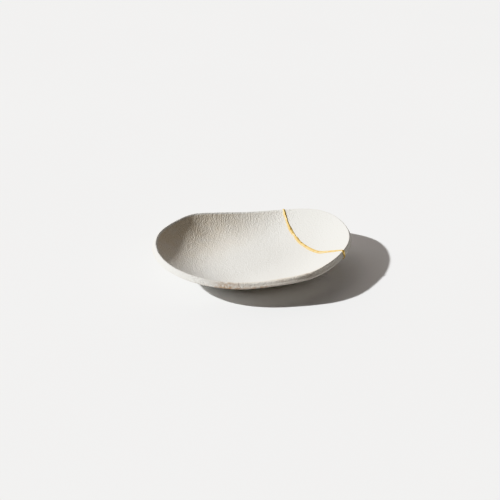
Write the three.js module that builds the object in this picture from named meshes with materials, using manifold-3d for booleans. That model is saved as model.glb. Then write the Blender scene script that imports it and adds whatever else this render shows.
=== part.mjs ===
// A shallow hand-built stoneware bowl that broke in two and was mended with gold.
// Three pieces: the bowl body, the shard that broke off its right end, and the gold seam that joins them.
// Millimetres, +Z up. The bowl stands on z = 0 and the origin is under the middle of its outline.
import * as THREE from 'three';
import { mergeVertices } from 'three/addons/utils/BufferGeometryUtils.js';
import Module from 'manifold-3d';

// The rim seen from above is an oval, wide along X, that the maker's hand pushed out of true.
const HALF_LENGTH = 95;
const HALF_WIDTH = 75.2;
const OVAL_FULLNESS = 2.05;    // exponent of the oval: 2 is an ellipse, more is squarer
const OVAL_TURN = 15;          // degrees from +X to the long axis
// Each row of the hand's work: how far in millimetres, the direction and the spread in degrees.
const RIM_PUSHES = [
  { by: -6, at: 87, spread: 28 },      // the far side is pressed nearly straight
  { by: 2.7, at: 19, spread: 19 },     // the right end swells
  { by: 4.3, at: -50, spread: 15 },    // and so does the near right corner
  { by: 4, at: 138, spread: 9 },       // the far left has a slight corner
];

// The rim's height above the table, and where it rises and sags.
const RIM_HEIGHT = 26.7;
const RIM_LIFTS = [
  { by: 4.5, at: 37, spread: 15 },
  { by: -3.5, at: 91, spread: 25 },
  { by: 4, at: 183, spread: 25 },
  { by: -3.2, at: 265, spread: 24 },
];

// The cut edge of the wall's slab: it leans outwards as it goes down, most of all on the near side,
// and it is a little hollow between its two corners.
const EDGE_WIDTH = 6.5;
const EDGE_OUT = 3;
const EDGE_LEANS = [
  { by: 1.7, at: -85, spread: 38 },
  { by: -1, at: 0, spread: 25 },
];
const EDGE_ROUND = 1.3;
const EDGE_HOLLOW = 0.5;
const FLOOR_THICKNESS = 8.5;

// Shares of the way from the middle to the rim.
const FLOOR_FLAT_TO = 0.25;    // the floor inside is flat up to here
const WALL_CURVE = 2.65;       // exponent of the wall's rise from there to the rim
const FOOT_TO = 0.47;          // the flat underside that the bowl stands on
const FOOT_HEIGHT = 1.5;
const FOOT_SLOPE_OUT = 0.012;
const UNDERSIDE_CURVE = 1.5;   // exponent: 1 is a plain cone, more is rounder

// The break and its gold. The points run from the far rim to the near right rim, from the bowl's middle.
const SEAM_PATH = [
  [31.5, 84], [33.3, 73], [34.3, 65.3], [36.2, 59.5], [38.5, 52.5], [40.8, 45.5],
  [43.3, 38.3], [46, 31.8], [49.4, 24], [54, 16.9], [59.6, 8.9], [65, 1.7],
  [68.6, -2.3], [74, -6.8], [81.1, -13.5], [84.6, -18.5], [87.7, -25], [89, -38],
];
const SEAM_WIDTH = 2.6;
const SEAM_PROUD = 0.6;
const FIT_GAP = 0.3;

// How finely the curved faces are cut up.
const COLUMNS = 96;
const FLOOR_RINGS = 3;
const WALL_RINGS = 10;
const UNDERSIDE_RINGS = 8;

const RADIANS = Math.PI / 180;

// Angle between two directions, from -180 to 180 degrees.
function turnBetween(a, b) {
  return ((a - b + 540) % 360 + 360) % 360 - 180;
}

// Sum of smooth bell-shaped bumps round the rim, at a direction in degrees.
function handWork(rows, direction) {
  let sum = 0;
  for (const { by, at, spread } of rows) {
    sum += by * Math.exp(-0.5 * (turnBetween(direction, at) / spread) ** 2);
  }
  return sum;
}

function rimRadius(direction) {
  const angle = (direction - OVAL_TURN) * RADIANS;
  const along = (Math.abs(Math.cos(angle)) / HALF_LENGTH) ** OVAL_FULLNESS;
  const across = (Math.abs(Math.sin(angle)) / HALF_WIDTH) ** OVAL_FULLNESS;
  return (along + across) ** (-1 / OVAL_FULLNESS) + handWork(RIM_PUSHES, direction);
}

function rimHeight(direction) {
  return RIM_HEIGHT + handWork(RIM_LIFTS, direction);
}

// How far the cut edge leans outwards, and how far it drops on the way.
function edgeOut(direction) {
  return EDGE_OUT + handWork(EDGE_LEANS, direction);
}

function edgeDrop(direction) {
  return Math.sqrt(EDGE_WIDTH ** 2 - edgeOut(direction) ** 2);
}

// Share of the rise from floor to rim at a share of the way out: none on the flat floor, then ever steeper.
function wallRise(share) {
  return Math.max((share - FLOOR_FLAT_TO) / (1 - FLOOR_FLAT_TO), 0) ** WALL_CURVE;
}

// Height of the inner face at a share of the way out, in one direction.
function innerHeight(direction, share) {
  return FLOOR_THICKNESS + (rimHeight(direction) - FLOOR_THICKNESS) * wallRise(share);
}

// Rounds the corner at one profile point by two cuts of the given length.
function roundedCorner(before, corner, after, size) {
  const back = before.clone().sub(corner).setLength(size);
  const ahead = after.clone().sub(corner).setLength(size);
  const middle = back.clone().add(ahead).multiplyScalar(0.3);
  return [corner.clone().add(back), corner.clone().add(middle), corner.clone().add(ahead)];
}

// Cross-section of the bowl in one direction, from the middle of the inside round to the middle below.
function profile(direction) {
  const radius = rimRadius(direction);
  const height = rimHeight(direction);
  const points = [];
  for (let i = 0; i < FLOOR_RINGS; i++) {
    const share = FLOOR_FLAT_TO * i / FLOOR_RINGS;
    points.push(new THREE.Vector2(share * radius, innerHeight(direction, share)));
  }
  for (let i = 0; i < WALL_RINGS; i++) {
    const share = FLOOR_FLAT_TO + (1 - FLOOR_FLAT_TO) * i / WALL_RINGS;
    points.push(new THREE.Vector2(share * radius, innerHeight(direction, share)));
  }
  const inside = points[points.length - 1];
  const top = new THREE.Vector2(radius, height);
  const bottom = new THREE.Vector2(radius + edgeOut(direction), height - edgeDrop(direction));
  const hollow = top.clone().lerp(bottom, 0.5);
  hollow.x -= EDGE_HOLLOW;
  const foot = new THREE.Vector2(FOOT_TO * radius, 0);
  const footTop = new THREE.Vector2((FOOT_TO + FOOT_SLOPE_OUT) * radius, FOOT_HEIGHT);
  const underside = [];
  for (let i = 0; i < UNDERSIDE_RINGS; i++) {
    const share = 1 - i / UNDERSIDE_RINGS;
    const x = footTop.x + (bottom.x - footTop.x) * share;
    const z = FOOT_HEIGHT + (bottom.y - FOOT_HEIGHT) * share ** UNDERSIDE_CURVE;
    underside.push(new THREE.Vector2(x, z));
  }
  points.push(...roundedCorner(inside, top, bottom, EDGE_ROUND), hollow);
  points.push(...roundedCorner(top, bottom, underside[1], EDGE_ROUND));
  points.push(...underside.slice(1), footTop, foot, new THREE.Vector2(0, 0));
  return points;
}

// Moves each profile point outwards from the solid by a distance; the two ends stay on the axis.
function grown(points, distance) {
  return points.map((point, i) => {
    const before = points[Math.max(i - 1, 0)];
    const after = points[Math.min(i + 1, points.length - 1)];
    const run = after.clone().sub(before).normalize();
    const outwards = new THREE.Vector2(-run.y, run.x).multiplyScalar(distance);
    const moved = point.clone().add(outwards);
    const onAxis = i === 0 || i === points.length - 1;
    return onAxis ? new THREE.Vector2(0, moved.y) : moved;
  });
}

// Closed shell from the profiles all round, grown outwards by a distance.
function bowlShell(distance) {
  const positions = [];
  const faces = [];
  let rings = 0;
  for (let column = 0; column < COLUMNS; column++) {
    const direction = 360 * column / COLUMNS;
    const points = grown(profile(direction), distance);
    rings = points.length - 2;
    for (const point of points.slice(1, -1)) {
      const x = point.x * Math.cos(direction * RADIANS);
      const y = point.x * Math.sin(direction * RADIANS);
      positions.push(x, y, point.y);
    }
  }
  const topPole = COLUMNS * rings;
  const bottomPole = topPole + 1;
  positions.push(0, 0, FLOOR_THICKNESS + distance, 0, 0, -distance);
  for (let column = 0; column < COLUMNS; column++) {
    const here = column * rings;
    const next = (column + 1) % COLUMNS * rings;
    faces.push(topPole, here, next);
    for (let ring = 0; ring < rings - 1; ring++) {
      faces.push(here + ring, here + ring + 1, next + ring + 1);
      faces.push(here + ring, next + ring + 1, next + ring);
    }
    faces.push(bottomPole, next + rings - 1, here + rings - 1);
  }
  const geometry = new THREE.BufferGeometry();
  geometry.setAttribute('position', new THREE.Float32BufferAttribute(positions, 3));
  geometry.setIndex(faces);
  return geometry;
}

// The seam's path moved sideways, to the right of its run for a positive distance.
function besideSeam(distance) {
  return SEAM_PATH.map((point, i) => {
    const before = new THREE.Vector2(...SEAM_PATH[Math.max(i - 1, 0)]);
    const after = new THREE.Vector2(...SEAM_PATH[Math.min(i + 1, SEAM_PATH.length - 1)]);
    const run = after.sub(before).normalize();
    return new THREE.Vector2(point[0] + run.y * distance, point[1] - run.x * distance);
  });
}

// Upright block over an outline seen from above, taller than the bowl.
function uprightBlock(outline) {
  const below = 10;
  const height = 60;
  const settings = { depth: height, bevelEnabled: false, steps: 1 };
  const geometry = new THREE.ExtrudeGeometry(new THREE.Shape(outline), settings);
  geometry.translate(0, 0, -below);
  return geometry;
}

const wasm = await Module();
wasm.setup();

// A closed mesh as a solid that can be cut.
function toSolid(geometry) {
  const bare = geometry.clone();
  bare.deleteAttribute('normal');
  bare.deleteAttribute('uv');
  const merged = mergeVertices(bare, 1e-4);
  const mesh = new wasm.Mesh({
    numProp: 3,
    vertProperties: new Float32Array(merged.attributes.position.array),
    triVerts: new Uint32Array(merged.index.array),
  });
  return new wasm.Manifold(mesh);
}

// A cut solid as a mesh again.
function toGeometry(solid) {
  const mesh = solid.getMesh();
  const geometry = new THREE.BufferGeometry();
  geometry.setAttribute('position', new THREE.Float32BufferAttribute(mesh.vertProperties, 3));
  geometry.setIndex(new THREE.Uint32BufferAttribute(mesh.triVerts, 1));
  geometry.computeVertexNormals();
  return geometry;
}

const FAR = 130;               // a corner well outside the bowl
const BREAK_SETBACK = SEAM_WIDTH / 2 + FIT_GAP;

// The bowl on the left of the break.
function bodySolid(bowl) {
  const corners = [[FAR, -FAR], [-FAR, -FAR], [-FAR, FAR], [SEAM_PATH[0][0], FAR]];
  const rest = corners.map(([x, y]) => new THREE.Vector2(x, y));
  return bowl.intersect(toSolid(uprightBlock([...besideSeam(BREAK_SETBACK), ...rest])));
}

// The shard on the right of it.
function shardSolid(bowl) {
  const corners = [[FAR, -FAR / 2], [FAR, FAR], [SEAM_PATH[0][0], FAR]];
  const rest = corners.map(([x, y]) => new THREE.Vector2(x, y));
  return bowl.intersect(toSolid(uprightBlock([...besideSeam(-BREAK_SETBACK), ...rest])));
}

// The gold between them, which stands a little proud of the clay on every side.
function seamSolid() {
  const halfWidth = SEAM_WIDTH / 2;
  const outline = [...besideSeam(halfWidth), ...besideSeam(-halfWidth).reverse()];
  return toSolid(bowlShell(SEAM_PROUD)).intersect(toSolid(uprightBlock(outline)));
}

// Middle of the bowl's outline seen from above.
function outlineMiddle() {
  const box = new THREE.Box2();
  for (let direction = 0; direction < 360; direction++) {
    const reach = rimRadius(direction) + edgeOut(direction);
    const x = reach * Math.cos(direction * RADIANS);
    const y = reach * Math.sin(direction * RADIANS);
    box.expandByPoint(new THREE.Vector2(x, y));
  }
  return box.getCenter(new THREE.Vector2());
}

const bodyClay = new THREE.MeshStandardMaterial({ color: 0xd9d3c9, roughness: 0.85, metalness: 0 });
const shardClay = new THREE.MeshStandardMaterial({ color: 0xe9e6e0, roughness: 0.8, metalness: 0 });
const gold = new THREE.MeshStandardMaterial({ color: 0xd9a53c, roughness: 0.35, metalness: 1 });

function piece(name, solid, material) {
  const middle = outlineMiddle();
  const mesh = new THREE.Mesh(toGeometry(solid), material);
  mesh.name = name;
  mesh.position.set(-middle.x, -middle.y, 0);
  return mesh;
}

const bowl = toSolid(bowlShell(0));
const mendedBowl = new THREE.Group();
mendedBowl.add(piece('bowl_body', bodySolid(bowl), bodyClay));
mendedBowl.add(piece('mended_shard', shardSolid(bowl), shardClay));
mendedBowl.add(piece('gold_seam', seamSolid(), gold));

export default mendedBowl;
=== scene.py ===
# A mended stoneware bowl: the looks of its three pieces, its stage and its camera.
# Metres, +Z up, the bowl's foot on z = 0 and the origin under the middle of its outline.

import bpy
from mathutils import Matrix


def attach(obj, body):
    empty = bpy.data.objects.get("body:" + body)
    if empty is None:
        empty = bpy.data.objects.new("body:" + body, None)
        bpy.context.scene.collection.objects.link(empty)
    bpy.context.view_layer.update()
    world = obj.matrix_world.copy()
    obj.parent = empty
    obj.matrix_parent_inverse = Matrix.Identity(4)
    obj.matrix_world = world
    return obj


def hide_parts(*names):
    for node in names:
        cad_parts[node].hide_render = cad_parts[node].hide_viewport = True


bl_info = {
    "name": "Mended Bowl",
    "version": (1, 0, 0),
    "blender": (4, 5, 0),
    "location": "View3D > Sidebar > Mended Bowl",
    "description": "Builds a hand-built stoneware bowl, its mended shard and the gold seam between them",
    "category": "Add Mesh",
}

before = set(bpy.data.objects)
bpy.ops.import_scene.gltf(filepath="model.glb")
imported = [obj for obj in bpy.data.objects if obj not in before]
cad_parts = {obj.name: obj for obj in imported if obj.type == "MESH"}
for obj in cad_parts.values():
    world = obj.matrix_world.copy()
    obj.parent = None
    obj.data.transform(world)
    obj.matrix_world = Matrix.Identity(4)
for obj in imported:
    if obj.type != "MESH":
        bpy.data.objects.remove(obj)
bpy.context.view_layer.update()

import itertools
import math

import bpy
import numpy as np
from mathutils import Vector

MM = 0.001

# The rim seen from above is an oval, wide along X, that the maker's hand pushed out of true.
HALF_LENGTH = 95 * MM
HALF_WIDTH = 75.2 * MM
OVAL_FULLNESS = 2.05
OVAL_TURN = 15
# Each row of the hand's work: how far in millimetres, the direction and the spread in degrees.
# It pushes the rim out, lifts it, leans its cut edge out further and wears its upper corner rounder.
RIM_PUSHES = ((-6, 87, 28), (4.8, 19, 19), (4.3, -50, 15), (4, 138, 9))
RIM_HEIGHT = 26.7 * MM
RIM_LIFTS = ((4.5, 37, 15), (-3.5, 91, 25), (4, 183, 25), (-3.2, 265, 24), (1.1, 145, 20), (0.5, -68, 15))
EDGE_LEANS = ((1.7, -85, 38), (-1, 0, 25), (1.2, 25, 20))
EDGE_SOFTENINGS = ((1.3, -70, 14), (0.6, 150, 40))
# The lower corner's rounding, as a share of the upper one's where that is evenly worn.
LOWER_ROUNDING = 0.7
# How many times its rounding each face keeps clear of its corner.
INSIDE_CLEAR = 1.3
UNDERSIDE_CLEAR = 1.5
CORNER_CLEAR = 2

# The slab of the wall, and shares of the way from the middle to the rim.
EDGE_WIDTH = 6.5 * MM
EDGE_OUT = 3 * MM
EDGE_HOLLOW = 0.25 * MM
FLOOR_THICKNESS = 8.5 * MM
FLOOR_FLAT_TO = 0.25
WALL_CURVE = 2.65
FOOT_TO = 0.47
FOOT_HEIGHT = 1.5 * MM
FOOT_SLOPE_OUT = 0.012
FOOT_ROUND = 0.8 * MM
UNDERSIDE_CURVE = 1.5

# The break, from the far rim to the near right rim, in millimetres from the bowl's middle.
SEAM_PATH = (
    (33.2, 84), (34.7, 73), (35.4, 65.3), (36.7, 59.5), (38.5, 52.5), (40.8, 45.5),
    (43.3, 38.3), (46.3, 31.3), (49.2, 23.8), (53.8, 16), (59.3, 7.4), (64.6, 0.2),
    (68.6, -3.9), (74.2, -7.3), (81.2, -13.2), (85.2, -17.8), (89.6, -23), (95.5, -28.3),
)
# Widths of the gold along that path, in millimetres, each at a place counted in the path's points.
SEAM_WIDTHS = (
    (0, 2.0), (2, 2.9), (3, 2.0), (4, 2.3), (5, 3.9), (6, 3.1), (6.4, 1.6), (7, 3.4), (8, 3.9), (10, 3.7),
    (11, 4.1), (12, 4.1), (13, 2.6), (14, 1.7), (15.4, 1.5), (15.9, 5.5), (16.4, 5), (17, 3),
)
USUAL_SEAM_WIDTH = 2.6
CLAY_SETBACK = 0.25 * MM
SEAM_ROOT = 0.8 * MM
# The gold lies lower over the rim and outside, and rises to its full height this far inside it.
SEAM_RIM_HEIGHT = 0.5
SEAM_THINS_OVER = 8 * MM

# How finely the surfaces are cut up.
BODY_COLUMNS = 620
SHARD_COLUMNS = 150
INSIDE_ROWS = 96
SHARD_INSIDE_ROWS = 44
CORNER_ROWS = 7
EDGE_ROWS = 4
UNDERSIDE_ROWS = 26
FOOT_ROWS = 8
BREAK_ROWS = 5
SEAM_SAMPLES = 900
SEAM_STEP = 0.5 * MM
BEAD_SIDES = 16
# The shard is looked for between these directions, and ends where less than this is left beyond the break.
SHARD_SEARCH = (-30, 80, 4401)
SHARD_LEAST = 0.02 * MM
# Columns over which the shard's relief dies out towards its tips.
TIP_COLUMNS = 4
# Rounds of smoothing along the seam, and how deep inside the rim the middle of the wall is taken.
SEAM_SMOOTHING = 3
OUTWARDS_SMOOTHING = 12
WALL_MIDDLE_INSIDE = 4 * MM
# How the gold's width and height wander: by what share, over what length and the seed of the pattern.
WIDTH_WANDER = (0.12, 5 * MM, 31)
HEIGHT_WANDER = (0.15, 6 * MM, 33)

# Lumps and grain of the clay: size of a lump, its height and the seed of its pattern.
RELIEF = (
    (30 * MM, 0.14 * MM, 11),
    (11 * MM, 0.06 * MM, 12),
    (5 * MM, 0.04 * MM, 15),
    (3 * MM, 0.07 * MM, 13),
    (2 * MM, 0.07 * MM, 14),
)
# Open pits, where a noise of this size passes a level, deepening over the next stretch of it.
PIT_SIZE = 2.2 * MM
PIT_SEED = 21
PITS_FROM = 0.55
PITS_OVER = 0.3
PIT_DEPTH = 0.08 * MM
# Share of the relief that shows where no sand stands, and how much more shows where it does.
SMOOTH_RELIEF = 0.35
SANDY_RELIEF = 0.45
# Flakes knocked off the rim: direction, size and depth.
CHIPS = ((-50, 1.5 * MM, 0.6 * MM), (-128, 1.2 * MM, 0.3 * MM), (133, 1.8 * MM, 0.4 * MM))
# Kiln marks on the edge: direction and spread in degrees, place down the edge and its spread, strength.
TOAST_MARKS = (
    (-105, 6, 0.4, 0.4, 0.65), (-103, 9, 0.95, 0.16, 0.9), (-84, 4.5, 0.95, 0.16, 0.8),
    (-70, 3, 0.35, 0.25, 0.3), (-51, 3, 0.2, 0.3, 0.3), (100, 12, 0.95, 0.16, 0.7),
    (-165, 6, 0.9, 0.16, 0.25), (20, 9, 0.95, 0.16, 0.4),
)
# The marks reach this far inside the rim, and a fainter one lies within this reach of the foot's corner.
MARKS_INSIDE = 1 * MM
FOOT_MARK_REACH = 4 * MM
FOOT_MARK_STRENGTH = 0.5
# How far the sand stands out where the hand smoothed it, up the wall and on the edge and outside.
SMOOTHED_SAND = 0.32
WALL_SAND = 1.25
EDGE_SAND = 0.8
SANDY_FROM = -40
# Warmer, darker clay, partly the clay's own colour and partly painted shade where the sun's shade falls: the
# side of the inner face towards which it rises, and how warm the outside is at its warmest.
WARM_SHADE_SIDE = (-0.77, 0.64)
OUTSIDE_WARMTH_AND_SHADE = 0.5
WARMTH_AND_SHADE_FROM = 5 * MM
WARMTH_AND_SHADE_OVER = 85 * MM
OUTSIDE_WARMTH_AND_SHADE_AT = -62
OUTSIDE_WARMTH_AND_SHADE_SPREAD = 36
# Lumps a metre in the patterns of colour, and in the bumps with their depths.
MOTTLE_SCALE = 90
SAND_SCALE = 520
SPECK_SCALE = 900
TOAST_SCALE = 330
GRAIN_SCALE = 720
GRAIN_DEPTH = 0.9 * MM
GOLD_PATCH_SCALE = 260
GOLD_GRAIN_SCALE = 900
GOLD_GRAIN_DEPTH = 0.2 * MM
PAPER_CLOUD_SCALE = 3
# Primes that mix a place in the noise's lattice, and how many random values it picks from.
LATTICE_PRIMES = np.array([73856093, 19349663, 83492791])
LATTICE_VALUES = 4096

# The camera, chosen to match the photograph: it looks along +Y and down, a little above the table.
CAMERA_TARGET = Vector((-0.0033, 0.0081, 0.012))
CAMERA_ELEVATION = math.radians(29)
CAMERA_DISTANCE = 0.8
CAMERA_LENS = 57.6
CAMERA_SENSOR = 36

# The stage's floor, so wide that its edge lies near the horizon.
FLOOR_REACH = 20
FLOOR_CORNERS = 64

# The light: where the sun stands, and soft windows of sky, each by direction, elevation and strength.
SUN_DIRECTION = 177.8
SUN_ELEVATION = 31.7
SUN_WIDTH = 2.6
SUN_COLOUR = (0.98, 0.995, 1)
SKY_COLOUR = (1, 0.93, 0.88, 1)
SKY_WINDOWS = ((130, 30, 1.12), (85, 25, 0.6), (322, 27, 0.57))
WINDOW_SOFTNESS = 5


def hand_work(rows, direction):
    """Sum of bell curves round the rim, by * exp(-(turn / spread)^2 / 2), in metres for directions in
    degrees."""
    total = np.zeros_like(direction)
    for by, at, spread in rows:
        turn = (direction - at + 180) % 360 - 180
        total += by * MM * np.exp(-0.5 * (turn / spread) ** 2)
    return total


def rim_radius(direction):
    """Radius of the superellipse |cos / a|^n + |sin / b|^n = 1 in each direction, plus the hand's pushes."""
    angle = np.radians(direction - OVAL_TURN)
    along = (np.abs(np.cos(angle)) / HALF_LENGTH) ** OVAL_FULLNESS
    across = (np.abs(np.sin(angle)) / HALF_WIDTH) ** OVAL_FULLNESS
    return (along + across) ** (-1 / OVAL_FULLNESS) + hand_work(RIM_PUSHES, direction)


def rim_height(direction):
    """Height of the rim in each direction: an even height plus the hand's lifts."""
    return RIM_HEIGHT + hand_work(RIM_LIFTS, direction)


def edge_out(direction):
    """How far the cut edge leans outwards in each direction."""
    return EDGE_OUT + hand_work(EDGE_LEANS, direction)


def edge_drop(direction):
    """How far the cut edge drops as it leans outwards, sqrt(width^2 - out^2)."""
    return np.sqrt(EDGE_WIDTH**2 - edge_out(direction) ** 2)


def outer_radius(direction):
    """Reach of the edge's lower corner in each direction."""
    return rim_radius(direction) + edge_out(direction)


def wall_rise(share):
    """Share of the rise from floor to rim: none on the flat floor, then a power of the way to the rim."""
    return np.clip((share - FLOOR_FLAT_TO) / (1 - FLOOR_FLAT_TO), 0, None) ** WALL_CURVE


def inside_height(direction, reach):
    """Height of the inner face at a reach from the middle: the floor plus the rise at that share of the
    radius."""
    rise = wall_rise(reach / rim_radius(direction))
    return FLOOR_THICKNESS + (rim_height(direction) - FLOOR_THICKNESS) * rise


def foot_top_reach(direction):
    """Reach of the foot's upper edge in each direction."""
    return (FOOT_TO + FOOT_SLOPE_OUT) * rim_radius(direction)


def underside_height(direction, reach):
    """Height of the outer face below: the foot's height plus the rise to the edge as a power of the way
    out."""
    start = foot_top_reach(direction)
    way = np.clip((reach - start) / (outer_radius(direction) - start), 0, 1)
    corner = rim_height(direction) - edge_drop(direction)
    return FOOT_HEIGHT + (corner - FOOT_HEIGHT) * way**UNDERSIDE_CURVE


def upper_rounding(direction, rounding):
    """How far the rim's upper corner is worn round in each direction: evenly, and more where hands
    wore it."""
    return rounding + hand_work(EDGE_SOFTENINGS, direction)


def corner_bend(before, corner, after, size, rows):
    """Quadratic bend past a corner, (1-t)^2 A + 2t(1-t) C + t^2 B, where A and B lie the given size
    from C."""
    back = before - corner
    ahead = after - corner
    start = corner + back / np.linalg.norm(back, axis=-1, keepdims=True) * size
    end = corner + ahead / np.linalg.norm(ahead, axis=-1, keepdims=True) * size
    t = np.linspace(0, 1, rows)[:, None, None]
    return (1 - t) ** 2 * start + 2 * t * (1 - t) * corner + t**2 * end


def edge_profile(direction, rounding):
    """Rounded edge of the slab in each direction, as rows of (reach, height) from the inside round to
    below."""
    radius = rim_radius(direction)
    height = rim_height(direction)
    worn = upper_rounding(direction, rounding)
    inner_reach = radius - CORNER_CLEAR * worn
    outer_reach = outer_radius(direction) - CORNER_CLEAR * rounding
    inner = np.stack([inner_reach, inside_height(direction, inner_reach)], -1)
    top = np.stack([radius, height], -1)
    bottom = np.stack([outer_radius(direction), height - edge_drop(direction)], -1)
    outer = np.stack([outer_reach, underside_height(direction, outer_reach)], -1)
    upper = corner_bend(inner, top, bottom, worn[:, None], CORNER_ROWS)
    lower = corner_bend(top, bottom, outer, rounding * LOWER_ROUNDING, CORNER_ROWS)
    steps = np.linspace(0, 1, EDGE_ROWS + 2)[1:-1, None, None]
    face = upper[-1] + (lower[0] - upper[-1]) * steps
    face[..., 0] -= EDGE_HOLLOW * np.sin(np.pi * steps[..., 0])
    return np.concatenate([upper, face, lower])


def skin_heights(direction, reach, edge):
    """Heights of the upper and the lower face at one reach in each direction, read off the rounded edge
    by a straight line between its rows where the reach lies past the plain faces."""
    top = inside_height(direction, reach)
    bottom = underside_height(direction, reach)
    turn = edge[..., 0].argmax(0)
    for row, (here, there) in enumerate(zip(edge[:-1], edge[1:])):
        run = there[:, 0] - here[:, 0]
        way = (reach - here[:, 0]) / np.where(np.abs(run) < 1e-9, 1e-9, run)
        height = here[:, 1] + (there[:, 1] - here[:, 1]) * np.clip(way, 0, 1)
        crossed = (way >= 0) & (way <= 1)
        top = np.where(crossed & (row < turn), height, top)
        bottom = np.where(crossed & (row >= turn), height, bottom)
    beyond = reach >= edge[..., 0].max(0)
    tip = np.take_along_axis(edge[..., 1], turn[None], 0)[0]
    return np.where(beyond, tip, top), np.where(beyond, tip, bottom)


def seam_line():
    """The break seen from above: a Catmull-Rom curve through its listed points, from the bowl's middle."""
    points = np.array(SEAM_PATH) * MM
    padded = np.vstack([2 * points[0] - points[1], points, 2 * points[-1] - points[-2]])
    way = np.linspace(0, len(points) - 1, SEAM_SAMPLES)
    span = np.minimum(way.astype(int), len(points) - 2)
    t = (way - span)[:, None]
    a, b, c, d = (padded[span + k] for k in range(4))
    return 0.5 * (2 * b + (c - a) * t + (2 * a - 5 * b + 4 * c - d) * t**2 + (3 * b - a - 3 * c + d) * t**3)


def polar(points):
    """Direction in degrees and reach of each point of a plan."""
    return np.degrees(np.arctan2(points[:, 1], points[:, 0])), np.hypot(points[:, 0], points[:, 1])


def break_reach(direction):
    """Reach of the break in each direction, without end where the break isn't met."""
    turned = (direction + 180) % 360 - 180
    seam_direction, seam_reach = polar(seam_line()[::-1])
    return np.interp(turned, seam_direction, seam_reach, left=np.inf, right=np.inf)


def outline_middle():
    """Middle of the bowl's outline seen from above, from the bowl's own middle."""
    direction = np.arange(360.0)
    reach = outer_radius(direction)
    x = reach * np.cos(np.radians(direction))
    y = reach * np.sin(np.radians(direction))
    return (x.min() + x.max()) / 2, (y.min() + y.max()) / 2


def to_space(direction, reach, height):
    """Points in the frame from direction, reach and height round the bowl's middle."""
    middle_x, middle_y = outline_middle()
    x = reach * np.cos(np.radians(direction)) - middle_x
    y = reach * np.sin(np.radians(direction)) - middle_y
    return np.stack([x, y, height + np.zeros_like(x)], -1)


def lattice_noise(points, cell, seed):
    """Smooth noise from -1 to 1: a random value at every corner of a cubic lattice, blended inside each
    cell by the smoothstep 3t^2 - 2t^3 along every axis."""
    scaled = points / cell
    base = np.floor(scaled).astype(np.int64)
    part = scaled - base
    blend = part * part * (3 - 2 * part)
    values = np.random.default_rng(seed).uniform(-1, 1, LATTICE_VALUES)
    total = np.zeros(points.shape[:-1])
    for corner in itertools.product((0, 1), repeat=3):
        mixed = (base + corner) * LATTICE_PRIMES
        place = np.bitwise_xor.reduce(mixed, axis=-1) % LATTICE_VALUES
        weight = np.where(np.array(corner) == 1, blend, 1 - blend).prod(-1)
        total += values[place] * weight
    return total


def clay_relief(points):
    """Height of the clay's lumps, grain, pits and chips at each point: a sum of noises, less the open pits
    and less depth * exp(-(distance / size)^2 / 2) round each chip."""
    relief = np.zeros(points.shape[:-1])
    for direction, size, depth in CHIPS:
        at = np.array([float(direction)])
        distance = np.linalg.norm(points - to_space(at, rim_radius(at), rim_height(at)), axis=-1)
        relief -= depth * np.exp(-0.5 * (distance / size) ** 2)
    for cell, height, seed in RELIEF:
        relief += height * lattice_noise(points, cell, seed)
    pits = np.clip((lattice_noise(points, PIT_SIZE, PIT_SEED) - PITS_FROM) / PITS_OVER, 0, 1)
    return relief - PIT_DEPTH * pits


def grid_normals(points, wrap):
    """Unit normals of a grid of points, by the cross product of its steps down the rows and along them."""
    down = np.gradient(points, axis=0)
    if wrap:
        along = np.roll(points, -1, axis=1) - np.roll(points, 1, axis=1)
    else:
        along = np.gradient(points, axis=1)
    normals = np.cross(down, along)
    length = np.linalg.norm(normals, axis=-1, keepdims=True)
    return normals / np.maximum(length, 1e-12)


def grid_faces(index, wrap_rows, wrap_columns):
    """Faces between the rows and columns of a grid of vertex numbers, without the sides that have no
    length."""
    if wrap_rows:
        index = np.vstack([index, index[:1]])
    if wrap_columns:
        index = np.hstack([index, index[:, :1]])
    quads = np.stack([index[:-1, :-1], index[1:, :-1], index[1:, 1:], index[:-1, 1:]], -1).reshape(-1, 4)
    same = quads == np.roll(quads, -1, axis=1)
    whole = quads[~same.any(1)]
    pinched = quads[same.sum(1) == 1]
    keep = ~(pinched == np.roll(pinched, -1, axis=1))
    corners = pinched[keep].reshape(-1, 3)
    return whole.tolist() + corners.tolist()


def mesh_object(name, points, faces, attributes=None):
    """A smooth-shaded mesh object at the origin, with float attributes per vertex."""
    mesh = bpy.data.meshes.new(name)
    mesh.from_pydata(points.reshape(-1, 3).tolist(), [], faces)
    mesh.polygons.foreach_set("use_smooth", [True] * len(mesh.polygons))
    for key, values in (attributes or {}).items():
        layer = mesh.attributes.new(key, "FLOAT", "POINT")
        layer.data.foreach_set("value", values.astype(np.float32).ravel())
    mesh.update()
    piece = bpy.data.objects.new(name, mesh)
    bpy.context.scene.collection.objects.link(piece)
    return piece


def drop_unused(points, faces, attributes):
    """Leaves out the vertices that no face uses."""
    used = np.unique(np.array([corner for face in faces for corner in face]))
    number = np.zeros(len(points), int)
    number[used] = np.arange(len(used))
    faces = [[int(number[corner]) for corner in face] for face in faces]
    return points[used], faces, {key: values[used] for key, values in attributes.items()}


def spread_between(first, last, rows):
    """Rows of values evenly spaced from one row of values to another, both included."""
    return first + (last - first) * np.linspace(0, 1, rows)[:, None]


def hold_to_break(edge, direction, limit):
    """The rim's edge with what lies past the break laid down the break's face, evenly from top to bottom."""
    top, bottom = skin_heights(direction, limit, edge)
    past = edge[..., 0] > limit
    place = past.cumsum(0) - 1
    way = place / np.maximum(past.sum(0) - 1, 1)
    reach = np.where(past, limit, edge[..., 0])
    height = np.where(past, top + (bottom - top) * way, edge[..., 1])
    return np.stack([reach, height], -1)


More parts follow.
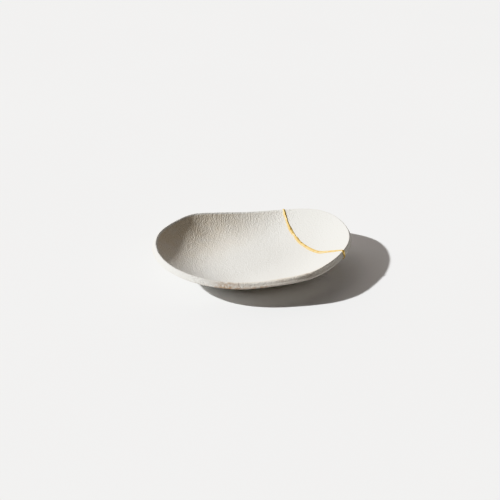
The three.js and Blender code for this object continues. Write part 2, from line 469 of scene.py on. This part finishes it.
def toast_at(direction, reach, height):
    """How strong the kiln's marks are: a bell round each mark on the edge, and a band round the foot's
    corner."""
    down = (rim_height(direction) - height) / edge_drop(direction)
    marks = np.zeros_like(down)
    for at, spread, place, depth, strength in TOAST_MARKS:
        turn = (direction - at + 180) % 360 - 180
        marks += strength * np.exp(-0.5 * ((turn / spread) ** 2 + ((down - place) / depth) ** 2))
    marks *= reach > rim_radius(direction) - MARKS_INSIDE
    from_foot = np.abs(reach - foot_top_reach(direction))
    foot = np.clip(1 - from_foot / FOOT_MARK_REACH, 0, 1) * (height < FOOT_MARK_REACH)
    return np.clip(marks + FOOT_MARK_STRENGTH * foot, 0, 1)


def sand_at(direction, reach):
    """How far the sand stands out of the inner face: least on the floor and towards the mended end, where
    the hand smoothed it, and more up the wall by share^2 and round to the far left by a cosine."""
    share = np.clip(reach / rim_radius(direction), 0, 1)
    turned = 0.5 - 0.5 * np.cos(np.radians(direction - SANDY_FROM))
    return SMOOTHED_SAND + (WALL_SAND - SMOOTHED_SAND) * share**2 * turned


def warmth_and_shade_at(points, inner):
    """How warm and dark the clay is, partly its own colour and partly painted shade where the sun's shade
    falls: inside it rises by the smoothstep towards the far left, and outside it is a bell round the near
    side."""
    towards_shade_side = points @ np.array((*WARM_SHADE_SIDE, 0))
    rise = np.clip((towards_shade_side - WARMTH_AND_SHADE_FROM) / WARMTH_AND_SHADE_OVER, 0, 1)
    direction = np.degrees(np.arctan2(points[..., 1], points[..., 0]))
    turn = (direction - OUTSIDE_WARMTH_AND_SHADE_AT) / OUTSIDE_WARMTH_AND_SHADE_SPREAD
    outside = OUTSIDE_WARMTH_AND_SHADE * np.exp(-0.5 * turn**2)
    return np.where(inner[:, None], rise**2 * (3 - 2 * rise), outside)


def clay_marks(direction, reach, height, points, inner):
    """What the clay's material reads at each vertex: the kiln's marks, its warmth with painted shade and the
    standing sand.
    """
    sand = np.where(inner[:, None], sand_at(direction, reach), EDGE_SAND)
    toast = toast_at(direction, reach, height)
    return {"toast": toast.ravel(), "sand": sand.ravel(), "warmth_and_shade": warmth_and_shade_at(points, inner).ravel()}


def inside_end(direction, rounding):
    """Reach at which the plain inner face gives way to the worn corner of the rim."""
    return rim_radius(direction) - INSIDE_CLEAR * upper_rounding(direction, rounding)


def under_end(direction, rounding):
    """Reach at which the plain underside gives way to the rounded lower corner of the edge."""
    return outer_radius(direction) - UNDERSIDE_CLEAR * rounding


def body_section(direction, rounding):
    """Closed section of the bowl body in each direction, as rows of (reach, height): inside from the middle
    to the rim or the break, the edge or the break's face, the underside and the foot back to the middle."""
    limit = break_reach(direction) - CLAY_SETBACK
    radius = rim_radius(direction)
    edge = edge_profile(direction, rounding)
    inside = spread_between(0, np.minimum(inside_end(direction, rounding), limit), INSIDE_ROWS)
    held = hold_to_break(edge, direction, limit)
    under_start = np.minimum(under_end(direction, rounding), limit)
    foot_top = foot_top_reach(direction)
    under = spread_between(under_start, foot_top, UNDERSIDE_ROWS)[1:]
    foot_corner = np.stack([FOOT_TO * radius, np.zeros_like(radius)], -1)
    foot_side = np.stack([foot_top, np.full_like(radius, FOOT_HEIGHT)], -1)
    foot_middle = np.zeros_like(foot_corner)
    foot_bend = corner_bend(foot_side, foot_corner, foot_middle, FOOT_ROUND, CORNER_ROWS)
    foot = spread_between(foot_bend[-1, :, 0], 0, FOOT_ROWS)[1:]
    reach = np.concatenate([inside, held[..., 0], under, foot_bend[..., 0], foot])
    height = np.concatenate([
        inside_height(direction, inside), held[..., 1], underside_height(direction, under),
        foot_bend[..., 1], np.zeros_like(foot),
    ])
    return reach, height


def shard_section(direction, rounding):
    """Closed section of the shard in each direction, as rows of (reach, height): up the break's face, along
    the inside to the rim, round the edge and along the underside back to the break."""
    limit = break_reach(direction) + CLAY_SETBACK
    edge = edge_profile(direction, rounding)
    top, bottom = skin_heights(direction, limit, edge)
    limit = np.minimum(limit, edge[..., 0].max(0))
    rise = spread_between(bottom, top, BREAK_ROWS)[1:-1]
    inside_stop = inside_end(direction, rounding)
    inside = spread_between(limit, np.maximum(inside_stop, limit), SHARD_INSIDE_ROWS)
    inside_z = np.where(inside > inside_stop, top, inside_height(direction, inside))
    short = edge[..., 0] < limit
    upper = np.arange(len(edge))[:, None] < edge[..., 0].argmax(0)
    edge_reach = np.where(short, limit, edge[..., 0])
    edge_z = np.where(short, np.where(upper, top, bottom), edge[..., 1])
    under_start = np.maximum(under_end(direction, rounding), limit)
    under = spread_between(under_start, limit, UNDERSIDE_ROWS)
    past_underside = limit > under_end(direction, rounding)
    under_z = np.where(past_underside, bottom, underside_height(direction, under))
    reach = np.concatenate([rise * 0 + limit, inside, edge_reach, under])
    height = np.concatenate([rise, inside_z, edge_z, under_z])
    return reach, height


def roughened(points, wrap, sand, steady):
    """Points moved along their normals by the clay's relief, less where the sand is smoothed and not at all
    where steady is 1; none sinks under the foot."""
    normals = grid_normals(points, wrap)
    share = (SMOOTH_RELIEF + SANDY_RELIEF * sand.reshape(steady.shape)) * (1 - steady)
    moved = points + normals * (clay_relief(points) * share)[..., None]
    moved[..., 2] = np.maximum(moved[..., 2], 0)
    return moved


def build_clay_body(sizes):
    """The bowl body: sections carried all round the middle, closed by one vertex at each pole."""
    direction = np.arange(BODY_COLUMNS) * 360 / BODY_COLUMNS
    reach, height = body_section(direction, sizes.edge_rounding)
    inner = np.arange(len(reach)) < INSIDE_ROWS
    points = to_space(direction, reach, height)
    marks = clay_marks(direction, reach, height, points, inner)
    points = roughened(points, True, marks["sand"], np.zeros_like(reach))
    rows = len(reach)
    index = np.arange(rows * BODY_COLUMNS).reshape(rows, BODY_COLUMNS)
    index[0] = index[0, 0]
    index[-1] = index[-1, 0]
    points[0, 0] = to_space(0.0, 0.0, FLOOR_THICKNESS)
    points[-1, 0] = to_space(0.0, 0.0, 0.0)
    faces = grid_faces(index, False, True)
    points, faces, attributes = drop_unused(points.reshape(-1, 3), faces, marks)
    return mesh_object("clay_body", points, faces, attributes)


def shard_span(rounding):
    """First and last direction in which anything is left of the rim beyond the break."""
    direction = np.linspace(*SHARD_SEARCH)
    left = edge_profile(direction, rounding)[..., 0].max(0) - break_reach(direction) - CLAY_SETBACK
    met = direction[left > SHARD_LEAST]
    return met[0], met[-1]


def build_clay_shard(sizes):
    """The shard: sections carried from one end of the break to the other, pinched to a point at both tips."""
    first, last = shard_span(sizes.edge_rounding)
    direction = np.linspace(first, last, SHARD_COLUMNS)
    reach, height = shard_section(direction, sizes.edge_rounding)
    points = to_space(direction, reach, height)
    row = np.arange(len(reach)) - (BREAK_ROWS - 2)
    inner = (row >= 0) & (row < SHARD_INSIDE_ROWS)
    marks = clay_marks(direction, reach, height, points, inner)
    from_tip = np.minimum(np.arange(SHARD_COLUMNS), np.arange(SHARD_COLUMNS)[::-1])
    steady = np.clip(1 - from_tip / TIP_COLUMNS, 0, 1) + np.zeros_like(reach)
    steady[row < 0] = 1
    points = roughened(points, False, marks["sand"], steady)
    rows = len(reach)
    index = np.arange(rows * SHARD_COLUMNS).reshape(rows, SHARD_COLUMNS)
    for tip in (0, -1):
        points[0, tip] = points[:, tip].mean(0)
        index[:, tip] = index[0, tip]
    faces = grid_faces(index, True, False)
    points, faces, attributes = drop_unused(points.reshape(-1, 3), faces, marks)
    return mesh_object("clay_shard", points, faces, attributes)


def resampled(path, step):
    """A closed path through the same places with points a step apart, by length along it."""
    closed = np.vstack([path, path[:1]])
    length = np.concatenate([[0], np.linalg.norm(np.diff(closed, axis=0), axis=1).cumsum()])
    count = int(round(length[-1] / step))
    at = np.arange(count) * length[-1] / count
    return np.stack([np.interp(at, length, closed[:, axis]) for axis in range(closed.shape[1])], -1)


def smoothed(values, rounds):
    """Each value of a closed row averaged with its two neighbours, a number of times."""
    for _ in range(rounds):
        values = (np.roll(values, 1, axis=0) + 2 * values + np.roll(values, -1, axis=0)) / 4
    return values


def rim_wrap(direction_at, reach_at, rounding):
    """The seam over the rim's edge: the edge's rows, each taken in the direction where the break has
    its reach."""
    edge = edge_profile(direction_at, rounding)
    direction = np.interp(edge[:, 0, 0], *reach_at)
    edge = edge_profile(direction, rounding)
    own = np.arange(len(edge))
    return to_space(direction, edge[own, own, 0], edge[own, own, 1])


def bead_path(rounding):
    """The closed line of the seam: over the inside, round the far rim, back underneath and up the near rim.
    Also gives a point inside the wall for each of its points, so that outwards is known."""
    direction, reach = polar(seam_line())
    inside = reach < inside_end(direction, rounding)
    top = to_space(direction, reach, inside_height(direction, reach))[inside]
    under = reach < under_end(direction, rounding)
    bottom = to_space(direction, reach, underside_height(direction, reach))[under]
    lowest = reach.argmin()
    far_half = (reach[: lowest + 1][::-1], direction[: lowest + 1][::-1])
    near_half = (reach[lowest:], direction[lowest:])
    far = rim_wrap(direction[inside][:1], far_half, rounding)
    near = rim_wrap(direction[inside][-1:], near_half, rounding)
    return np.vstack([top, near, bottom[::-1], far[::-1]])


def seam_widths(direction):
    """Share of its usual width that the gold has in each direction, by straight lines between the
    listed widths."""
    seam_direction, _ = polar(seam_line()[::-1])
    place = np.interp(direction, seam_direction, np.linspace(len(SEAM_PATH) - 1, 0, SEAM_SAMPLES))
    places, widths = np.array(SEAM_WIDTHS).T
    return np.interp(place, places, widths) / USUAL_SEAM_WIDTH


def wandering(path, by, length, seed):
    """A value that wanders about 1 along a path, 1 + by * noise."""
    return 1 + by * lattice_noise(path, length, seed)


def build_gold_bead(sizes):
    """The gold bead: an oval section (w cos a, h sin a) carried round the closed line of the seam. Its width
    follows the listed widths, and both its width and its height wander with noise."""
    path = smoothed(resampled(bead_path(sizes.edge_rounding), SEAM_STEP), SEAM_SMOOTHING)
    tangent = np.roll(path, -1, axis=0) - np.roll(path, 1, axis=0)
    tangent /= np.linalg.norm(tangent, axis=1, keepdims=True)
    plan = path[:, :2] + np.array(outline_middle())
    direction, reach = polar(plan)
    inner = np.minimum(reach, rim_radius(direction) - WALL_MIDDLE_INSIDE)
    middle = (inside_height(direction, inner) + underside_height(direction, inner)) / 2
    outwards = path - to_space(direction, inner, middle)
    outwards /= np.linalg.norm(outwards, axis=1, keepdims=True)
    outwards = smoothed(outwards, OUTWARDS_SMOOTHING)
    outwards -= tangent * (outwards * tangent).sum(1, keepdims=True)
    outwards /= np.linalg.norm(outwards, axis=1, keepdims=True)
    side = np.cross(tangent, outwards)
    angle = np.arange(BEAD_SIDES) * 2 * np.pi / BEAD_SIDES
    across, up = np.cos(angle), np.sin(angle)
    wander = wandering(path, *WIDTH_WANDER)
    swell = wandering(path, *HEIGHT_WANDER)
    width = sizes.seam_width / 2 * wander * smoothed(seam_widths(direction), SEAM_SMOOTHING)
    inside = np.clip((rim_radius(direction) - reach) / SEAM_THINS_OVER, 0, 1)
    swell *= SEAM_RIM_HEIGHT + (1 - SEAM_RIM_HEIGHT) * inside
    proud = np.where(up[:, None] > 0, sizes.seam_proud * swell, SEAM_ROOT) * up[:, None]
    points = path + side * (width * across[:, None])[..., None] + outwards * proud[..., None]
    index = np.arange(points.shape[0] * points.shape[1]).reshape(points.shape[:2])
    return mesh_object("gold_bead", points, grid_faces(index[::-1], True, True))


def new_material(name):
    """An empty node material with its shader, and a function that adds a node with its values set."""
    material = bpy.data.materials.new(name)
    material.use_nodes = True
    tree = material.node_tree
    shader = tree.nodes["Principled BSDF"]

    def add(kind, inputs=None, **settings):
        node = tree.nodes.new(kind)
        for key, value in settings.items():
            setattr(node, key, value)
        for key, value in (inputs or {}).items():
            if isinstance(value, bpy.types.NodeSocket):
                tree.links.new(value, node.inputs[key])
            else:
                node.inputs[key].default_value = value
        return node

    return material, shader, add, tree.links.new


def noise_at(add, place, scale, detail=2.0, roughness=0.5):
    """A noise pattern's strength, from 0 to 1, at a number of lumps a metre."""
    settings = {"Vector": place, "Scale": scale, "Detail": detail, "Roughness": roughness}
    return add("ShaderNodeTexNoise", settings).outputs["Fac"]


def between(add, value, low, high):
    """A value's place from low to high, held to 0 and 1 and eased at both ends."""
    settings = {"Value": value, "From Min": low, "From Max": high}
    return add("ShaderNodeMapRange", settings, interpolation_type="SMOOTHSTEP").outputs["Result"]


def blended(add, factor, first, second, mode="MIX"):
    """One colour laid over another by a factor."""
    node = add("ShaderNodeMix", data_type="RGBA", blend_type=mode)
    links = node.id_data.links
    for socket, value in ((node.inputs[0], factor), (node.inputs[6], first), (node.inputs[7], second)):
        if isinstance(value, bpy.types.NodeSocket):
            links.new(value, socket)
        else:
            socket.default_value = value
    return node.outputs[2]


def times(add, first, second):
    """Product of two values."""
    return add("ShaderNodeMath", {0: first, 1: second}, operation="MULTIPLY").outputs[0]


def stoneware_material(colours):
    """Matte unglazed stoneware: mottled cream clay turning warmer and darker as painted shade on its shaded
    side, fine iron specks, kiln-toasted corners and a sandy grain."""
    material, shader, add, link = new_material("stoneware")
    place = add("ShaderNodeTexCoord").outputs["Object"]
    warmth_and_shade = add("ShaderNodeAttribute", attribute_name="warmth_and_shade").outputs["Fac"]
    mottling = {"Value": noise_at(add, place, MOTTLE_SCALE, 4), "From Min": 0.3, "From Max": 0.7}
    mottle = add("ShaderNodeMapRange", {**mottling, "To Min": 0.7, "To Max": 1.2}).outputs["Result"]
    # Painted shade: the warm, darker clay goes where the sun's shade falls, and it is partly the clay's own
    # colour.
    clay = blended(add, times(add, warmth_and_shade, mottle), colours.clay, colours.clay_warm_and_shaded)
    sand = between(add, noise_at(add, place, SAND_SCALE, 2), 0.3, 0.75)
    clay = blended(add, times(add, sand, 0.12), clay, colours.clay_shade)
    speck = between(add, noise_at(add, place, SPECK_SCALE, 1), 0.7, 0.76)
    clay = blended(add, times(add, speck, 0.5), clay, colours.speck)
    toast = add("ShaderNodeAttribute", attribute_name="toast").outputs["Fac"]
    blush = between(add, noise_at(add, place, TOAST_SCALE, 3), 0.3, 0.62)
    clay = blended(add, times(add, toast, blush), clay, colours.toast)
    link(clay, shader.inputs["Base Color"])
    rough = add("ShaderNodeMapRange", {"Value": sand, "To Min": 0.82, "To Max": 0.95}).outputs["Result"]
    link(rough, shader.inputs["Roughness"])
    standing = add("ShaderNodeAttribute", attribute_name="sand").outputs["Fac"]
    grain = times(add, noise_at(add, place, GRAIN_SCALE, 1), standing)
    bump = add("ShaderNodeBump", {"Height": grain, "Distance": GRAIN_DEPTH, "Strength": 1.0})
    link(bump.outputs["Normal"], shader.inputs["Normal"])
    shader.inputs["Specular IOR Level"].default_value = 0.25
    return material


def gold_material(colours):
    """Gold powder burnished on lacquer: a satin metal with a faint brushed unevenness in colour and gloss."""
    material, shader, add, link = new_material("gold")
    place = add("ShaderNodeTexCoord").outputs["Object"]
    patch = between(add, noise_at(add, place, GOLD_PATCH_SCALE, 2), 0.35, 0.7)
    link(blended(add, patch, colours.gold, colours.gold_deep), shader.inputs["Base Color"])
    rough = add("ShaderNodeMapRange", {"Value": patch, "To Min": 0.38, "To Max": 0.55}).outputs["Result"]
    link(rough, shader.inputs["Roughness"])
    height = noise_at(add, place, GOLD_GRAIN_SCALE, 2)
    bump = add("ShaderNodeBump", {"Height": height, "Distance": GOLD_GRAIN_DEPTH, "Strength": 0.15})
    link(bump.outputs["Normal"], shader.inputs["Normal"])
    shader.inputs["Metallic"].default_value = 0.7
    return material


def floor_material(colours):
    """The stage's pale matte paper, with a barely seen cloudiness."""
    material, shader, add, link = new_material("pale_paper")
    place = add("ShaderNodeTexCoord").outputs["Object"]
    cloud = between(add, noise_at(add, place, PAPER_CLOUD_SCALE, 2), 0.2, 0.8)
    link(blended(add, cloud, colours.floor, colours.floor_shade), shader.inputs["Base Color"])
    shader.inputs["Roughness"].default_value = 0.9
    shader.inputs["Specular IOR Level"].default_value = 0.1
    return material


def towards(direction, elevation):
    """Unit vector towards a place in the sky, by its direction and elevation in degrees."""
    turn, rise = math.radians(direction), math.radians(elevation)
    return math.cos(rise) * math.cos(turn), math.cos(rise) * math.sin(turn), math.sin(rise)


def sky_world(strength):
    """A sky that is dark but for its soft windows, each strength * max(cos of the angle off its middle,
    0)^softness."""
    world = bpy.data.worlds.new("sky")
    world.use_nodes = True
    nodes, link = world.node_tree.nodes, world.node_tree.links.new
    place = nodes.new("ShaderNodeTexCoord").outputs["Generated"]
    total = None
    for direction, elevation, peak in SKY_WINDOWS:
        aim = nodes.new("ShaderNodeVectorMath")
        aim.operation = "DOT_PRODUCT"
        aim.inputs[1].default_value = towards(direction, elevation)
        link(place, aim.inputs[0])
        glow = aim.outputs["Value"]
        for operation, value in (("MAXIMUM", 0), ("POWER", WINDOW_SOFTNESS), ("MULTIPLY", peak * strength)):
            step = nodes.new("ShaderNodeMath")
            step.operation = operation
            step.inputs[1].default_value = value
            link(glow, step.inputs[0])
            glow = step.outputs[0]
        if total is not None:
            step = nodes.new("ShaderNodeMath")
            link(total, step.inputs[0])
            link(glow, step.inputs[1])
            glow = step.outputs[0]
        total = glow
    sky = nodes["Background"]
    sky.inputs["Color"].default_value = SKY_COLOUR
    link(total, sky.inputs["Strength"])
    return world


class BowlSizes(bpy.types.PropertyGroup):
    """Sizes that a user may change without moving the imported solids."""

    edge_rounding: bpy.props.FloatProperty(
        name="Edge rounding", description="How far the rim's two corners are worn round",
        default=1.9 * MM, min=0.5 * MM, max=2.2 * MM, unit="LENGTH",
    )
    seam_width: bpy.props.FloatProperty(
        name="Seam width", description="Usual width of the gold bead",
        default=USUAL_SEAM_WIDTH * MM, unit="LENGTH",
    )
    seam_proud: bpy.props.FloatProperty(
        name="Seam height", description="How far the gold stands proud of the clay",
        default=1.2 * MM, unit="LENGTH",
    )
    sun_strength: bpy.props.FloatProperty(
        name="Sun strength", description="Strength of the lamp that casts the shadow", default=5.9, min=0,
    )
    fill_strength: bpy.props.FloatProperty(
        name="Sky strength", description="Strength of the soft light from the sky", default=1.0, min=0,
    )


def colour_property(name, description, colour):
    """A colour that a user may change."""
    return bpy.props.FloatVectorProperty(
        name=name, description=description, default=(*colour, 1), size=4, subtype="COLOR", min=0, max=1,
    )


class BowlColours(bpy.types.PropertyGroup):
    """Colours of the clay, the gold and the stage."""

    clay: colour_property("Clay", "Colour of the clay at its paler, mended end", (0.64, 0.63, 0.602))
    # Warm clay is partly painted shade: it is laid where the sun's shade falls.
    clay_warm_and_shaded: colour_property("Warm clay", "Colour of the clay at the other end", (0.625, 0.56, 0.465))
    clay_shade: colour_property("Clay grain", "Colour between the grains of sand", (0.55, 0.52, 0.47))
    speck: colour_property("Speck", "Colour of the iron specks", (0.22, 0.15, 0.10))
    toast: colour_property("Toast", "Colour where the kiln toasted the clay", (0.40, 0.27, 0.17))
    gold: colour_property("Gold", "Main colour of the gold", (0.96, 0.72, 0.28))
    gold_deep: colour_property("Deep gold", "Colour of the gold's thinner patches", (0.56, 0.38, 0.13))
    floor: colour_property("Floor", "Colour of the stage", (0.85, 0.85, 0.85))
    floor_shade: colour_property("Floor shade", "Colour of the stage's cloudiness", (0.835, 0.835, 0.835))


def finish_piece(piece, material, node):
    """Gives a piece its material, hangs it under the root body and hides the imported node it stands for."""
    piece.data.materials.append(material)
    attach(piece, "root")
    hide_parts(node)


class BOWL_OT_stage(bpy.types.Operator):
    """Lays the pale floor, hangs the lamp and sets up the camera"""

    bl_idname = "bowl.stage"
    bl_label = "Stage"

    def execute(self, context):
        scene = context.scene
        self.floor(scene)
        self.light(scene)
        self.camera(scene)
        return {"FINISHED"}

    def floor(self, scene):
        """A flat round floor of one face, wide enough to fill the view."""
        angle = np.arange(FLOOR_CORNERS) * 2 * np.pi / FLOOR_CORNERS
        points = FLOOR_REACH * np.stack([np.cos(angle), np.sin(angle), 0 * angle], -1)
        floor = mesh_object("floor", points, [list(range(FLOOR_CORNERS))])
        floor.data.materials.append(floor_material(scene.bowl_colours))

    def light(self, scene):
        """A slightly soft sun from the left and barely behind, and a sky of soft windows."""
        lamp = bpy.data.lights.new("key", "SUN")
        lamp.energy = scene.bowl_sizes.sun_strength
        lamp.angle = math.radians(SUN_WIDTH)
        lamp.color = SUN_COLOUR
        key = bpy.data.objects.new("key", lamp)
        source = Vector(towards(SUN_DIRECTION, SUN_ELEVATION))
        key.rotation_euler = source.to_track_quat("Z", "Y").to_euler()
        key.location = source
        scene.collection.objects.link(key)
        scene.world = sky_world(scene.bowl_sizes.fill_strength)
        scene.view_settings.view_transform = "Khronos PBR Neutral"

    def camera(self, scene):
        """The camera, aimed straight at its target."""
        data = bpy.data.cameras.new("camera")
        data.lens = CAMERA_LENS
        data.sensor_width = CAMERA_SENSOR
        camera = bpy.data.objects.new("camera", data)
        back = Vector((0, -math.cos(CAMERA_ELEVATION), math.sin(CAMERA_ELEVATION)))
        camera.location = CAMERA_TARGET + back * CAMERA_DISTANCE
        camera.rotation_euler = back.to_track_quat("Z", "Y").to_euler()
        scene.collection.objects.link(camera)
        scene.camera = camera


class BOWL_OT_clay(bpy.types.Operator):
    """Builds the bowl body and the shard that was broken off it"""

    bl_idname = "bowl.clay"
    bl_label = "Clay"

    def execute(self, context):
        scene = context.scene
        material = stoneware_material(scene.bowl_colours)
        finish_piece(build_clay_body(scene.bowl_sizes), material, "bowl_body")
        finish_piece(build_clay_shard(scene.bowl_sizes), material, "mended_shard")
        return {"FINISHED"}


class BOWL_OT_gold(bpy.types.Operator):
    """Lays the bead of gold along the break"""

    bl_idname = "bowl.gold"
    bl_label = "Gold seam"

    def execute(self, context):
        scene = context.scene
        material = gold_material(scene.bowl_colours)
        finish_piece(build_gold_bead(scene.bowl_sizes), material, "gold_seam")
        return {"FINISHED"}


class BOWL_PT_panel(bpy.types.Panel):
    """Lists the bowl's operators and its settings"""

    bl_idname = "BOWL_PT_panel"
    bl_label = "Mended Bowl"
    bl_space_type = "VIEW_3D"
    bl_region_type = "UI"
    bl_category = "Mended Bowl"

    def draw(self, context):
        for operator in OPERATORS:
            self.layout.operator(operator.bl_idname)
        for group in (context.scene.bowl_sizes, context.scene.bowl_colours):
            for key in group.bl_rna.properties.keys():
                if key not in {"rna_type", "name"}:
                    self.layout.prop(group, key)


OPERATORS = (BOWL_OT_stage, BOWL_OT_clay, BOWL_OT_gold)
CLASSES = (BowlSizes, BowlColours, *OPERATORS, BOWL_PT_panel)


def register():
    for cls in CLASSES:
        bpy.utils.register_class(cls)
    bpy.types.Scene.bowl_sizes = bpy.props.PointerProperty(type=BowlSizes)
    bpy.types.Scene.bowl_colours = bpy.props.PointerProperty(type=BowlColours)


def unregister():
    del bpy.types.Scene.bowl_colours
    del bpy.types.Scene.bowl_sizes
    for cls in reversed(CLASSES):
        bpy.utils.unregister_class(cls)


def main():
    register()
    bpy.ops.bowl.stage()
    bpy.ops.bowl.clay()
    bpy.ops.bowl.gold()


if __name__ == "__main__":
    main()
